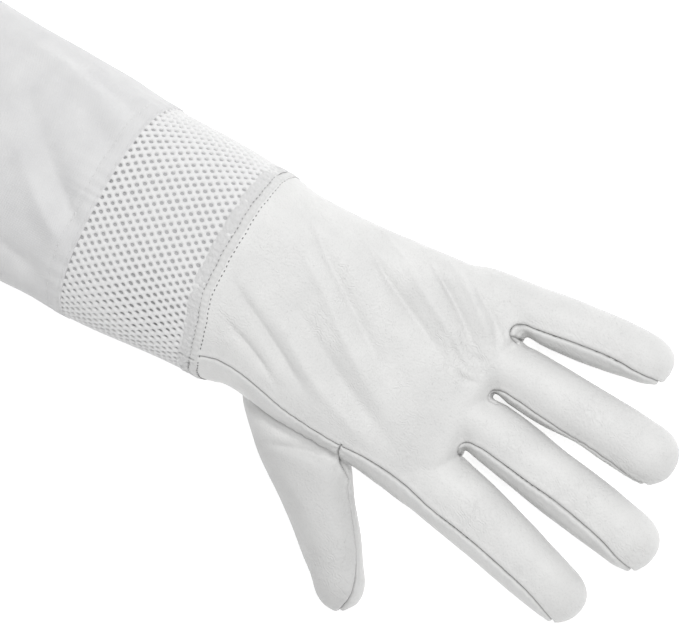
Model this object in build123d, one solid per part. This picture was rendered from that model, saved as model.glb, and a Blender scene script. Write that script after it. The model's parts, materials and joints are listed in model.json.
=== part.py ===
from build123d import *

import os

# Beekeeping glove for the left hand: a leather hand, a vent band of spacer mesh and a canvas sleeve that is
# gathered at the elbow.
#
# The glove lies palm down, filled out as if a hand were in it. +X runs along the forearm towards the fingertips,
# +Y towards the little finger and +Z up from the surface that it lies on. It is drawn with X zero at the start of
# the leather and Y zero on the sleeve's axis, and then moved so that its origin is below the middle of its box.
#
# Leather, mesh and canvas are thin closed shells, open inside from the elbow to the fingertips. Where the leather
# bends, at the wrist and at two places on each finger, a ring of soft leather of its own lies between the lengths
# that stay in shape.

# ---------------------------------------------------------------- driving dimensions, in millimetres and degrees
LEATHER = 1.2
CANVAS = 0.9
MESH = 3.0
FAR = 400.0
GAP = 0.3

ELBOW_X = -275.0
HEM_END_X = -251.0
CANVAS_END_X = -55.0
MESH_END_X = 2.5
BINDING_END_X = 7.5
WRIST_END_X = 50.0
STRIP_JOINT_X = 78.0
FINGER_ROOT_X = 124.0

HEM_RADIUS = 48.0
HEM_BORE_RADIUS = 45.0
ELASTIC_MARGIN = 3.0

# Stations along the tube of the sleeve and the hand, which stands on z = 0: x, middle y, width, height, corner
SLEEVE = [
    (HEM_END_X, 0.0, 104.0, 96.0, 46.0),
    (CANVAS_END_X, 0.5, 106.0, 93.0, 44.0),
]
MESH_BAND = [
    (CANVAS_END_X, 0.5, 103.0, 91.0, 43.0),
    (MESH_END_X, 0.5, 100.0, 83.0, 40.0),
]
HAND = [
    (BINDING_END_X, 0.5, 98.0, 81.0, 39.0),
    (WRIST_END_X, 1.0, 97.5, 59.0, 27.0),
    (66.0, 1.5, 99.5, 51.0, 23.0),
    (85.0, 2.5, 104.0, 43.0, 19.5),
    (110.0, 5.5, 114.0, 33.0, 15.0),
    (FINGER_ROOT_X, 10.9, 121.6, 28.0, 12.5),
]

# Each finger: y of the middle of its root, angle from +X, length, width at the root, width at the tip, mid bend
FINGERS = {
    "index": (-32.6, -14.0, 85.0, 30.0, 27.0, 50.0),
    "middle": (-0.4, -9.0, 101.0, 29.0, 28.0, 57.0),
    "ring": (29.4, -3.0, 91.0, 27.6, 28.6, 52.0),
    "little": (57.7, 6.0, 69.0, 26.4, 24.0, 43.0),
}
FINGER_THICKNESS = 26.0
FINGER_ROUND = 11.0
FINGER_RUN_IN = 8.0  # how far a finger's form is drawn back into the hand before it is cut off
ROOT_BEND = 12.5
BEND_HALF = 11.5
SEAM_SHARE = 0.62  # from a finger's middle to its seams, as a share of half its width

THUMB_ROOT = (56.0, -31.0)
THUMB_ANGLE = -53.5
THUMB = (0.0, THUMB_ANGLE, 97.5, 35.0, 27.0, 65.0)
THUMB_THICKNESS = 27.0
THUMB_ROOT_BEND = 34.0
THUMB_ROOT_BEND_HALF = 10.0
THUMB_MID_BEND_HALF = 9.0

# Seams of the side strip on the thumb side, as shares of the height at each of the hand's stations. The lower one
# dips to the middle of the hole that the thumb comes out of.
STRIP_LOW = [0.42, 0.2, 0.2, 0.42, 0.42, 0.42]
STRIP_HIGH = [0.7] * 6
BELOW_ALL = [-1.0] * 6
STRIP_INNER_Y = -20.0

GUSSET_DEPTH = 1.6
GUSSET_WIDTH = 7.0
GUSSET_RAISE = 3.5


# ---------------------------------------------------------------- shapes that are used again
def slab(low, high):
    """Box from its lowest to its highest corner."""
    size = [h - l for l, h in zip(low, high)]
    return Pos(*[(l + h) / 2 for l, h in zip(low, high)]) * Box(*size)


def only(shape):
    """The solids of a shape, as a lone solid or a compound."""
    solids = shape.solids()
    return solids[0] if len(solids) == 1 else Compound(children=solids)


def tube_face(station, inset):
    """Rounded rectangle across the tube at one station, shrunk all round by inset."""
    x, middle, width, height, corner = station
    plane = Plane(origin=(x, middle, height / 2), x_dir=(0, 1, 0), z_dir=(1, 0, 0))
    return plane * RectangleRounded(width - 2 * inset, height - 2 * inset, corner - inset)


def tube_solid(stations, inset):
    return loft([tube_face(s, inset) for s in stations], ruled=True)


def tube_shell(stations, wall):
    return tube_solid(stations, 0) - tube_solid(stations, wall)


def band(low_shares, high_shares, inner_y):
    """Everything between two lines of shares of the hand's height, from the thumb side in to inner_y."""
    first, last = HAND[0], HAND[-1]
    stations = [(first[0] - 1, *first[1:]), *HAND[1:-1], (last[0] + 1, *last[1:])]
    low = [(s[0], share * s[3]) for s, share in zip(stations, low_shares)]
    high = [(s[0], share * s[3]) for s, share in zip(stations, high_shares)]
    outline = make_face(Polyline(*low, *reversed(high), close=True))
    flat = Plane(origin=(0, inner_y, 0), x_dir=(1, 0, 0), z_dir=(0, -1, 0)) * outline
    return extrude(flat, FAR)


def stall_solid(finger, thickness, start, inset):
    """Closed form of a finger along +X from start to its tip, shrunk by inset except at its start."""
    _, _, length, root_width, tip_width, _ = finger
    half_root = root_width / 2 - inset
    half_tip = tip_width / 2 - inset
    round_x = length - inset - half_tip
    outline = Polyline((round_x, half_tip), (start, half_root), (start, -half_root), (round_x, -half_tip))
    cap = ThreePointArc((round_x, -half_tip), (round_x + half_tip, 0), (round_x, half_tip))
    body = extrude(Pos(0, 0, inset) * make_face(outline + cap), thickness - 2 * inset)
    rims = body.edges().filter_by(Plane.XY).filter_by(lambda e: e.center().X > start + 0.01)
    return fillet(rims, FINGER_ROUND - inset)


def stall_shell(finger, thickness, start):
    return stall_solid(finger, thickness, start, 0) - stall_solid(finger, thickness, start - 1, LEATHER)


def length_of(shell, x0, x1):
    """The part of a shell from x0 to x1."""
    return shell & slab((x0, -FAR, -FAR), (x1, FAR, FAR))


def finger_panels(shell, u0, u1, seam, thickness):
    """Back, palm and thumb-side wall of one length of a finger. The back leather rolls over the other side."""
    middle = thickness / 2
    return {
        "back": shell & slab((u0, -seam, middle), (u1, FAR, FAR)),
        "palm": shell & slab((u0, -seam, -FAR), (u1, FAR, middle)),
        "fourchette": shell & slab((u0, -FAR, -FAR), (u1, -seam, FAR)),
    }


# ---------------------------------------------------------------- the sleeve
def ring(x0, x1, inner, outer):
    """Ring about the sleeve's axis at the elbow."""
    plane = Plane(origin=(x0, 0, HEM_RADIUS), z_dir=(1, 0, 0))
    return extrude(plane * (Circle(outer) - Circle(inner)), x1 - x0)


def sleeve_nodes():
    hem = ring(ELBOW_X, HEM_END_X, HEM_BORE_RADIUS, HEM_RADIUS)
    casing = ring(ELBOW_X + CANVAS, HEM_END_X - CANVAS, HEM_BORE_RADIUS + CANVAS, HEM_RADIUS - CANVAS)
    elastic = ring(
        ELBOW_X + ELASTIC_MARGIN,
        HEM_END_X - ELASTIC_MARGIN,
        HEM_BORE_RADIUS + CANVAS + 0.1,
        HEM_RADIUS - CANVAS - 0.1,
    )
    end = MESH_BAND[-1]
    binding_stations = [end, (BINDING_END_X, *end[1:])]
    return {
        "elbow_hem": hem - casing,
        "elbow_elastic": elastic,
        "sleeve_canvas": tube_shell(SLEEVE, CANVAS),
        "vent_mesh": tube_shell(MESH_BAND, MESH),
        "cuff_binding": tube_shell(binding_stations, MESH),
    }


# ---------------------------------------------------------------- the hand
def thumb_place():
    return Pos(*THUMB_ROOT, 0) * Rot(0, 0, THUMB_ANGLE)


def hand_nodes():
    """Wrist and hand leather, each cut into back, palm and side strip, with the hole that the thumb comes out of."""
    shell = tube_shell(HAND, LEATHER)
    shell = shell - thumb_place() * stall_solid(THUMB, THUMB_THICKNESS, 0, LEATHER)
    lower = band(BELOW_ALL, STRIP_LOW, FAR / 2)
    strip = band(STRIP_LOW, STRIP_HIGH, STRIP_INNER_Y)
    palm = shell & lower
    rest = shell - lower
    side = rest & strip
    back = rest - strip
    nodes = {}
    for name, piece in (("back", back), ("palm", palm), ("side_strip", side)):
        nodes["wrist_" + name] = length_of(piece, BINDING_END_X + GAP, WRIST_END_X)
        nodes["hand_" + name] = length_of(piece, WRIST_END_X + GAP, FINGER_ROOT_X)
    return nodes


def gusset_nodes():
    """The leather that closes the hand between each two neighbouring fingers."""
    names = list(FINGERS)
    nodes = {}
    for first, second in zip(names, names[1:]):
        edge_a = FINGERS[first][0] + FINGERS[first][3] / 2
        edge_b = FINGERS[second][0] - FINGERS[second][3] / 2
        middle = (edge_a + edge_b) / 2
        low = (FINGER_ROOT_X - GUSSET_DEPTH, middle - GUSSET_WIDTH / 2, GUSSET_RAISE)
        high = (FINGER_ROOT_X, middle + GUSSET_WIDTH / 2, FINGER_THICKNESS - GUSSET_RAISE)
        nodes[f"crotch_gusset_{first}_{second}"] = slab(low, high)
    return nodes


# ---------------------------------------------------------------- fingers and thumb
def finger_nodes(name):
    """Two bends and the stiffer base and tip of one finger, which starts just clear of the hand's end."""
    finger = FINGERS[name]
    middle_y, angle, length, _, tip_width, mid_bend = finger
    seam = SEAM_SHARE * tip_width / 2
    shell = stall_shell(finger, FINGER_THICKNESS, -FINGER_RUN_IN)
    base = (ROOT_BEND + BEND_HALF + GAP, mid_bend - BEND_HALF - GAP)
    tip = (mid_bend + BEND_HALF + GAP, length + 1)
    place = Pos(FINGER_ROOT_X, middle_y, 0) * Rot(0, 0, angle)
    root_bend = place * length_of(shell, -FINGER_RUN_IN, ROOT_BEND + BEND_HALF)
    mid = place * length_of(shell, mid_bend - BEND_HALF, mid_bend + BEND_HALF)
    nodes = {f"{name}_root_bend": length_of(root_bend, FINGER_ROOT_X + GAP, FAR), f"{name}_mid_bend": mid}
    for part, (u0, u1) in (("base", base), ("tip", tip)):
        for side, piece in finger_panels(shell, u0, u1, seam, FINGER_THICKNESS).items():
            nodes[f"{name}_{part}_{side}"] = place * piece
    return nodes


def thumb_nodes():
    length, mid_bend = THUMB[2], THUMB[5]
    shell = stall_shell(THUMB, THUMB_THICKNESS, 0)
    base_start = THUMB_ROOT_BEND + THUMB_ROOT_BEND_HALF
    mid_start, mid_end = mid_bend - THUMB_MID_BEND_HALF, mid_bend + THUMB_MID_BEND_HALF
    upper = slab((-1, -FAR, THUMB_THICKNESS / 2), (length + 1, FAR, FAR))
    base = length_of(shell, base_start + GAP, mid_start - GAP)
    tip = length_of(shell, mid_end + GAP, length + 1)
    place = thumb_place()
    hand = tube_solid(HAND, -GAP)
    return {
        "thumb_root_bend": place * length_of(shell, 0, base_start) - hand,
        "thumb_base_back": place * (base & upper),
        "thumb_base_palm": place * (base - upper),
        "thumb_mid_bend": place * length_of(shell, mid_start, mid_end),
        "thumb_tip_back": place * (tip & upper),
        "thumb_tip_palm": place * (tip - upper),
    }


# ---------------------------------------------------------------- the whole glove
def all_nodes():
    nodes = {**sleeve_nodes(), **hand_nodes(), **gusset_nodes(), **thumb_nodes()}
    for name in FINGERS:
        nodes.update(finger_nodes(name))
    return nodes


def main():
    nodes = {name: only(piece) for name, piece in all_nodes().items()}
    boxes = [piece.bounding_box() for piece in nodes.values()]
    x_middle = (min(b.min.X for b in boxes) + max(b.max.X for b in boxes)) / 2
    y_middle = (min(b.min.Y for b in boxes) + max(b.max.Y for b in boxes)) / 2
    z_floor = min(b.min.Z for b in boxes)
    print("origin in drawing coordinates:", round(x_middle, 4), round(y_middle, 4), round(z_floor, 4))
    os.makedirs("parts", exist_ok=True)
    for name, piece in nodes.items():
        export_step(Pos(-x_middle, -y_middle, -z_floor) * piece, f"parts/{name}.step")


main()
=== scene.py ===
import json
import math
from contextlib import contextmanager

import bmesh
import bpy
import numpy as np
from mathutils import Matrix, Vector
from mathutils.bvhtree import BVHTree
from mathutils.kdtree import KDTree


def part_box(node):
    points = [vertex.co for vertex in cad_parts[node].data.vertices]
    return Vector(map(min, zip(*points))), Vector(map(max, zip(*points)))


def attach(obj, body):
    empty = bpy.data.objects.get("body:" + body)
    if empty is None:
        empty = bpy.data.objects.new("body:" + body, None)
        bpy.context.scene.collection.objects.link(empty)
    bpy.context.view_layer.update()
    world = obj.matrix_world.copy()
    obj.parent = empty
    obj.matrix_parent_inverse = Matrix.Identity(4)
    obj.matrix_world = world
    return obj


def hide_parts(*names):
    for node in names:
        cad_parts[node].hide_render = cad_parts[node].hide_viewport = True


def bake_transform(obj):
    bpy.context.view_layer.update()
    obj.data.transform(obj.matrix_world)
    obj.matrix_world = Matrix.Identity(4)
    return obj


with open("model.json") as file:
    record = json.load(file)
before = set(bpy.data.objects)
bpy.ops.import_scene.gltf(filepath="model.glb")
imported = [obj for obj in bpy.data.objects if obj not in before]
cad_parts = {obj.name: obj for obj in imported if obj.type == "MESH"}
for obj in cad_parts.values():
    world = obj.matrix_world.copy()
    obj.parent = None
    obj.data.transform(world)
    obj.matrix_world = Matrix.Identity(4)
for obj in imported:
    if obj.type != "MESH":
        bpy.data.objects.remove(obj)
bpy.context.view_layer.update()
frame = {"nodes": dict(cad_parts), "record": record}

# Beekeeping glove, left hand, palm down. Shapes are drawn in millimetres in the drawing's coordinates: x from
# the start of the leather to the fingertips, y from the sleeve's axis to the little finger, z up from the
# surface. The binding's place in the frame gives the step from there to the row's frame.

MM = 0.001
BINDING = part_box("cuff_binding")
BINDING_X, BINDING_Y = 2.5, 0.5  # the binding's first x and its middle y in the drawing
SHIFT = np.array([
    BINDING[0][0] / MM - BINDING_X,
    (BINDING[0][1] + BINDING[1][1]) / 2 / MM - BINDING_Y,
    0.0,
])
rng = np.random.default_rng(7)


def to_frame(points):
    """Drawing millimetres to metres in the row's frame."""
    return (np.asarray(points, float) + SHIFT) * MM


# ---------------- the hand's measures, in drawing millimetres
# Hand: x, y of the thumb side, y of the little-finger side, height, squareness
HAND_SECTIONS = [
    (-24, -51.4, 52.8, 85.6, 2.5),
    (-9, -50.8, 52, 84.4, 2.5),
    (6, -48.9, 50.1, 79.8, 2.5),
    (22, -47.2, 49.5, 72.6, 2.5),
    (38, -47.3, 50, 65, 2.5),
    (55, -48, 51.2, 56.5, 2.6),
    (72, -48.8, 52.8, 49, 2.7),
    (88, -50, 54.6, 42.5, 2.8),
    (102, -52.2, 56.6, 37, 2.9),
    (114, -54.4, 58, 32.5, 2.9),
    (122, -55, 59.6, 30, 2.8),
    (125.5, -51, 56, 25, 2.4),
]
# Fingers: along the middle line x, y, half width, thickness; the first lies inside the hand
FINGERS = {
    "index": [
        (104, -36.5, 15, 31), (122, -38.9, 16.3, 29.5), (136, -41.6, 16.2, 28.5),
        (150, -44.7, 15.6, 27.5), (166, -48.8, 14.8, 26.5), (182, -53, 13.8, 25.5),
        (192.5, -55.5, 12.9, 24.5), (205.2, -58.2, 0, 0),
    ],
    "middle": [
        (104, -5, 12.6, 32.5), (122, -5.8, 12.7, 30.5), (136, -7.9, 13.2, 29),
        (154, -10.9, 13.6, 28), (172, -13.8, 14.2, 27), (190, -16.6, 14.1, 26),
        (204, -18.9, 13.5, 25), (222.2, -21.6, 0, 0),
    ],
    "ring": [
        (104, 22.6, 12.6, 32), (122, 21.9, 12.6, 30), (136, 21.3, 13, 28.5),
        (152, 20.5, 13.4, 27.5), (168, 19.9, 13.3, 26.5), (184, 18.8, 13.7, 26),
        (195, 17.9, 13.6, 25), (212.2, 17.4, 0, 0),
    ],
    "little": [
        (104, 47.6, 11.4, 30), (122, 49.4, 11.6, 27.5), (136, 50.6, 12.6, 26.5),
        (150, 51.7, 12.8, 25.5), (164, 53.2, 12.4, 24.5), (175, 54.3, 11.5, 23.5),
        (190.8, 54.8, 0, 0),
    ],
}
# Thumb: distance along its line, sideways step of the middle, half width, thickness
THUMB_START = (50, -38)
THUMB_TURN = math.radians(-48)
THUMB = [
    (-10, -5.5, 22.5, 34), (10, -3.4, 21, 31), (30, -1, 18.8, 29), (50, -0.3, 15.3, 27.5),
    (69, 0.2, 13.4, 26.5), (80, 0, 11.8, 25), (95, -0.8, 0, 0),
]
TIP_CAP = 15.0  # length of a finger's round tip
ROOT_TAPER = 20.0  # a finger grows out of the hand over this length
ROOT_RISE, ROOT_RISE_OVER = 11, 40.0  # its underside starts this high, inside the rounded edge of the hand
ROOT_WIDTH, ROOT_THICKNESS = 0.6, 0.72  # and has these shares of the first row's width and thickness
TIP_SIZE, TIP_BLUNTNESS = 0.97, 2.3  # share of the last full row's size, and power of the tip's outline
STALL_SIDES, STALL_SQUARENESS = 40, 2.35
HAND_RINGS, HAND_SIDES = 60, 72
SLEEVE_LIFT, LIFT_END, LIFT_RUN = 2.6, 30, 26  # how high the sleeve is lifted, and over which x it comes down
VOXEL = 0.8
LINE_STEP = 0.4  # between the points of a seam's or a fold's line
LATTICE = 32  # random values along each side of a noise's lattice


# ---------------- curves
def smooth(t):
    """Smooth step, from 0 to 1 as t is."""
    return t * t * (3 - 2 * t)


def bell(t):
    """Round hump: 1 at 0, and next to nothing beyond 2 on either side."""
    return np.exp(-(t**2))


def run_along(points):
    """How far along a line of points each of them is."""
    return np.concatenate([[0], np.cumsum(np.linalg.norm(np.diff(points, axis=0), axis=1))])


def sideways(along):
    """The level direction to the left of a level direction."""
    return np.array([-along[1], along[0]])


def hermite(x, y, tangent, at):
    """Cubic pieces through the points (x, y), with a tangent at each point."""
    i = np.clip(np.searchsorted(x, at, side="right") - 1, 0, len(x) - 2)
    t = ((at - x[i]) / (x[i + 1] - x[i]))[:, None]
    h = np.diff(x)[:, None][i]
    return (
        (2 * t**3 - 3 * t**2 + 1) * y[i] + (t**3 - 2 * t**2 + t) * h * tangent[i]
        + (-2 * t**3 + 3 * t**2) * y[i + 1] + (t**3 - t**2) * h * tangent[i + 1]
    )


def pchip(x, y, at):
    """Shape-keeping cubic through the points (x, y), for each column of y."""
    x, y = np.asarray(x, float), np.asarray(y, float)
    h = np.diff(x)[:, None]
    slope = np.diff(y, axis=0) / h
    w1 = 2 * h[1:] + h[:-1]
    w2 = h[1:] + 2 * h[:-1]
    with np.errstate(divide="ignore", invalid="ignore"):
        mean = (w1 + w2) / (w1 / slope[:-1] + w2 / slope[1:])
    tangent = np.zeros_like(y)
    tangent[1:-1] = np.where(slope[:-1] * slope[1:] > 0, mean, 0)
    tangent[0], tangent[-1] = slope[0], slope[-1]
    return hermite(x, y, tangent, at)


def spline(x, y, at):
    """Catmull-Rom curve through the points (x, y)."""
    h = np.diff(x)[:, None]
    slope = np.diff(y, axis=0) / h
    tangent = np.zeros_like(y)
    tangent[1:-1] = (slope[:-1] * h[1:] + slope[1:] * h[:-1]) / (h[1:] + h[:-1])
    tangent[0], tangent[-1] = slope[0], slope[-1]
    return hermite(x, y, tangent, at)


def curve_points(points):
    """A smooth curve through a few given points, as points about LINE_STEP apart."""
    points = np.asarray(points, float)
    length = run_along(points)
    return spline(length, points, np.linspace(0, length[-1], max(int(length[-1] / LINE_STEP), 4)))


def even(points):
    """The line again, with its points LINE_STEP apart."""
    length = run_along(points)
    at = np.arange(0, length[-1], LINE_STEP)
    return np.stack([np.interp(at, length, points[:, k]) for k in range(points.shape[1])], axis=1)


def ease(points, rounds):
    """The line with its small bends eased and its ends kept."""
    points = points.copy()
    for _ in range(rounds):
        points[1:-1] = (points[:-2] + 2 * points[1:-1] + points[2:]) / 4
    return points


def lattice_noise(points, size, seed):
    """Smooth noise from -1 to 1: random values on a lattice of the given size, joined by smooth steps."""
    table = np.random.default_rng(seed).uniform(-1, 1, (LATTICE, LATTICE, LATTICE))
    corner = np.floor(points / size).astype(int)
    share = smooth(points / size - corner)
    total = 0
    for step in np.ndindex(2, 2, 2):
        weight = 1
        for axis, after in enumerate(step):
            weight = weight * (share[:, axis] if after else 1 - share[:, axis])
        total = total + weight * table[tuple((corner + step).T % LATTICE)]
    return total


# ---------------- mesh helpers
def signed(value, power):
    """Power of a value that keeps its sign."""
    return np.sign(value) * np.abs(value) ** power


def superellipse(angle, squareness):
    return signed(np.cos(angle), 2 / squareness), signed(np.sin(angle), 2 / squareness)


def whole_turn(count):
    return np.linspace(0, 2 * math.pi, count, endpoint=False)


def loft_mesh(rings):
    """Vertices and faces of a closed loft through rings of equally many points."""
    count = len(rings[0])
    faces = []
    for k in range(len(rings) - 1):
        for i in range(count):
            j = (i + 1) % count
            faces.append((k * count + i, k * count + j, (k + 1) * count + j, (k + 1) * count + i))
    faces.append(tuple(reversed(range(count))))
    faces.append(tuple(range((len(rings) - 1) * count, len(rings) * count)))
    return np.concatenate(rings), faces


def join(parts):
    """Several meshes, each as its vertices and faces, as one."""
    verts, faces, base = [], [], 0
    for v, f in parts:
        verts.append(v)
        faces += [tuple(i + base for i in face) for face in f]
        base += len(v)
    return np.concatenate(verts), faces


def link(obj):
    bpy.context.scene.collection.objects.link(obj)
    return obj


def new_object(name, verts, faces):
    mesh = bpy.data.meshes.new(name)
    mesh.from_pydata([tuple(v) for v in verts], [], faces)
    mesh.update()
    return link(bpy.data.objects.new(name, mesh))


def values(items, what, width, kind=float):
    """One property of every item of a mesh, as an array with a row for each item."""
    out = np.empty(len(items) * width, dtype=kind)
    items.foreach_get(what, out)
    return out.reshape(-1, width)


def coordinates(mesh):
    return values(mesh.vertices, "co", 3)


def normals(mesh):
    return values(mesh.vertices, "normal", 3)


def edge_array(mesh):
    return values(mesh.edges, "vertices", 2, np.int64)


def set_coordinates(mesh, co):
    mesh.vertices.foreach_set("co", np.ascontiguousarray(co, dtype=float).ravel())
    mesh.update()


def add_attribute(mesh, name, table, domain="POINT"):
    """Keeps a number or a vector for every point or corner of the mesh."""
    kind, what = ("FLOAT", "value") if table.ndim == 1 else ("FLOAT_VECTOR", "vector")
    mesh.attributes.new(name, kind, domain).data.foreach_set(what, table.astype(np.float32).ravel())


@contextmanager
def edited(mesh):
    """The mesh opened for editing, and written back afterwards."""
    bm = bmesh.new()
    bm.from_mesh(mesh)
    yield bm
    bm.to_mesh(mesh)
    bm.free()


def shade_smooth(obj):
    obj.data.polygons.foreach_set("use_smooth", np.ones(len(obj.data.polygons), dtype=bool))
    obj.data.update()


def surface_tree(mesh):
    faces = [tuple(face.vertices) for face in mesh.polygons]
    return BVHTree.FromPolygons([tuple(point) for point in coordinates(mesh)], faces)


def nearest_on(tree, line):
    """The line moved onto the surface, point by point."""
    return np.array([tree.find_nearest(Vector(point))[0][:] for point in line])


def relax(co, edges, weight, rounds):
    """Moves each point towards the mean of its neighbours, by its weight from 0 to 1, round after round."""
    degree = np.bincount(edges.ravel(), minlength=len(co)).astype(float)
    degree[degree == 0] = 1
    for _ in range(rounds):
        total = np.zeros_like(co)
        for axis in range(3):
            total[:, axis] = np.bincount(edges[:, 0], co[edges[:, 1], axis], len(co))
            total[:, axis] += np.bincount(edges[:, 1], co[edges[:, 0], axis], len(co))
        co = co + (total / degree[:, None] - co) * weight[:, None]
    return co


def applied(obj, kind, **settings):
    """The object's mesh with a modifier applied."""
    modifier = obj.modifiers.new("shape", kind)
    for name, value in settings.items():
        setattr(modifier, name, value)
    graph = bpy.context.evaluated_depsgraph_get()
    mesh = bpy.data.meshes.new_from_object(obj.evaluated_get(graph))
    obj.modifiers.clear()
    old = obj.data
    obj.data = mesh
    bpy.data.meshes.remove(old)
    return mesh


# ---------------- the fused form of the leather
def lift(x):
    """How high the underside stands: the canvas and the binding, which are thicker, touch the surface."""
    return SLEEVE_LIFT * smooth(np.clip((LIFT_END - np.asarray(x)) / LIFT_RUN, 0, 1))


def hand_form():
    xs = np.array([s[0] for s in HAND_SECTIONS])
    at = np.linspace(xs[0], xs[-1], HAND_RINGS)
    rows = pchip(xs, np.array([s[1:] for s in HAND_SECTIONS]), at)
    rings = []
    for x, (low, high, height, square) in zip(at, rows):
        c, s = superellipse(whole_turn(HAND_SIDES), square)
        y = (low + high) / 2 + c * (high - low) / 2
        z = height / 2 + s * height / 2 + lift(x)
        rings.append(np.stack([np.full(HAND_SIDES, x), y, z], axis=1))
    return loft_mesh(rings)


def thumb_rows():
    """The thumb's rows as a finger's are."""
    along = np.array([math.cos(THUMB_TURN), math.sin(THUMB_TURN)])
    rows = []
    for distance, step, half, thick in THUMB:
        x, y = np.array(THUMB_START) + along * distance + sideways(along) * step
        rows.append((x, y, half, thick))
    return rows


STALLS = {**FINGERS, "thumb": thumb_rows()}


def stall_form(rows):
    """A finger: sections square to its middle line, closed by a blunt round tip."""
    rows = np.asarray(rows, float)
    back = rows[0][:2] - rows[1][:2]
    root = rows[0][:2] + ROOT_TAPER * back / np.linalg.norm(back)
    rows = np.vstack([[*root, ROOT_WIDTH * rows[0][2], ROOT_THICKNESS * rows[0][3]], rows])
    body, tip = rows[:-1], rows[-1]
    lengths = run_along(rows[:, :2])
    full = np.vstack([body, [tip[0], tip[1], body[-1][2] * TIP_SIZE, body[-1][3] * TIP_SIZE]])
    fine = np.concatenate([
        np.linspace(0, lengths[-1] - TIP_CAP, 28, endpoint=False),
        lengths[-1] - TIP_CAP * (1 - np.sin(np.linspace(0, math.pi / 2, 16))),
    ])
    path = pchip(lengths, full, fine)
    rings = []
    c, s = superellipse(whole_turn(STALL_SIDES), STALL_SQUARENESS)
    for k, (x, y, half, thick) in enumerate(path):
        along = path[min(k + 1, len(path) - 1)][:2] - path[max(k - 1, 0)][:2]
        along /= np.linalg.norm(along)
        into_cap = np.clip(1 - (lengths[-1] - fine[k]) / TIP_CAP, 0, 1)
        shrink = max((1 - into_cap**TIP_BLUNTNESS) ** (1 / TIP_BLUNTNESS), 0.02)
        low = ROOT_RISE * (1 - smooth(min(fine[k] / ROOT_RISE_OVER, 1)))
        ring = np.empty((STALL_SIDES, 3))
        ring[:, :2] = np.array([x, y]) + sideways(along) * (c * half * shrink)[:, None]
        ring[:, 2] = low + (thick - low) / 2 * (1 + s * shrink)
        rings.append(ring)
    return loft_mesh(rings)


def leather_form():
    """Hand, fingers and thumb fused in one even mesh, with the creases where they meet eased."""
    obj = new_object("leather_form", *join([hand_form()] + [stall_form(rows) for rows in STALLS.values()]))
    mesh = applied(obj, "REMESH", mode="VOXEL", voxel_size=VOXEL)
    co = coordinates(mesh)
    set_coordinates(mesh, relax(co, edge_array(mesh), np.full(len(co), 0.5), 3))
    return obj


# ---------------- seams and folds of the leather
# Seams on the back are drawn as they look from the eye, on the level plane VIEW_PLANE_Z, and cast onto the
# leather from there. Seams of the palm are drawn in x and y and cast straight up.
EYE = (220.1, 8, 908.5)
VIEW_PLANE_Z = 25.0
BACK_SEAMS = {
    "strip": [(-6, -43), (0, -41.4), (9.2, -40.6), (29.4, -40.7), (51, -43.4), (77, -44.8), (90, -44.4),
              (109.5, -46), (126, -50), (144, -52.7), (163, -56.7), (182, -61.3), (193, -65.2),
              (199.5, -67.4)],
    "little": [(126, 33.2), (122.2, 34.2), (120.6, 37), (121.6, 39.8), (124.5, 41.2), (130, 41.9), (150, 45),
               (167, 46.6), (179, 46.2), (189.5, 47.2)],
    "ring": [(130, 5), (126.6, 5.2), (125.4, 7.8), (127.5, 10.2), (136, 10.6), (148.5, 9.2), (161, 8.2),
             (173, 7.7), (186, 6.5), (199, 5), (209.5, 6)],
    "middle": [(131, -23.6), (126.6, -22.6), (125, -19.6), (126.8, -16.7), (132, -15.8), (143, -16.9),
               (159, -19), (172, -20.4), (185.5, -22.9), (199.5, -26.2), (210, -29.6), (217.5, -30.4)],
    "thumb": [(88.9, -56.1), (90.1, -59.4), (94.1, -65), (98.3, -70.6), (102.5, -76.2), (106.6, -81.8),
              (110, -87.7), (112.7, -94.1), (114.1, -101.2), (113.1, -106.8), (111.3, -110.5)],
}
STRIP_JOINT = [(78.1, -44.1), (77.9, -46.6), (78.6, -48.6), (80.3, -49.9)]
# The strip's lower seam, as points beside the hand
STRIP_LOW = [(4, -49, 33), (14, -48, 31), (24, -47, 31), (34, -47, 32.5), (60, -48, 31), (82, -50, 28.5),
             (92, -50.5, 22), (104, -53, 14), (116, -54, 9), (124, -54, 6)]
GUSSET_JOINTS = [[(122, 34.5), (126, 35.2), (130.5, 35.4)], [(126.8, -22.6), (130.5, -21.4), (133.5, -21.8)]]
PALM_SEAMS = {
    "outer": [(8, 41), (30, 41), (60, 43), (90, 46.5), (115, 51), (136, 59), (152, 62), (170, 61.5),
              (182, 58.5), (190, 53)],
    "thumb_set": [(26, -44), (27, -34), (34, -22), (48, -14), (64, -13), (80, -20), (90, -32), (95, -45)],
}
# Which way a finger's palm seams run, as shares of its half width from its middle
PALM_INNER, PALM_OUTER = -0.62, 0.70
PALM_TIP_SHARE = 0.94  # and how near they come to the back's seam at its tip
CAST_EASE = 6  # rounds of easing a seam's line
FAR = 1e3  # distance of the points that no line is near
SEAM_DEPTH, SEAM_REACH = 1.15, 0.5
LIP_HEIGHT, LIP_AT, LIP_REACH = 0.32, 1.9, 1.2
PUCKER, PUCKER_AT, PUCKER_REACH = 0.17, 2.4, 2.2
SEAM_SIDES = 9  # how far beside a seam its lips and pucker are worked out
SEAM_PAINTED_SHADE = 0.34  # half the width of the shade painted dark into a seam
FINE_REACH = 2.2  # the mesh is made finer this near to a seam

FOLD_HEIGHT = 2.1
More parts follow.
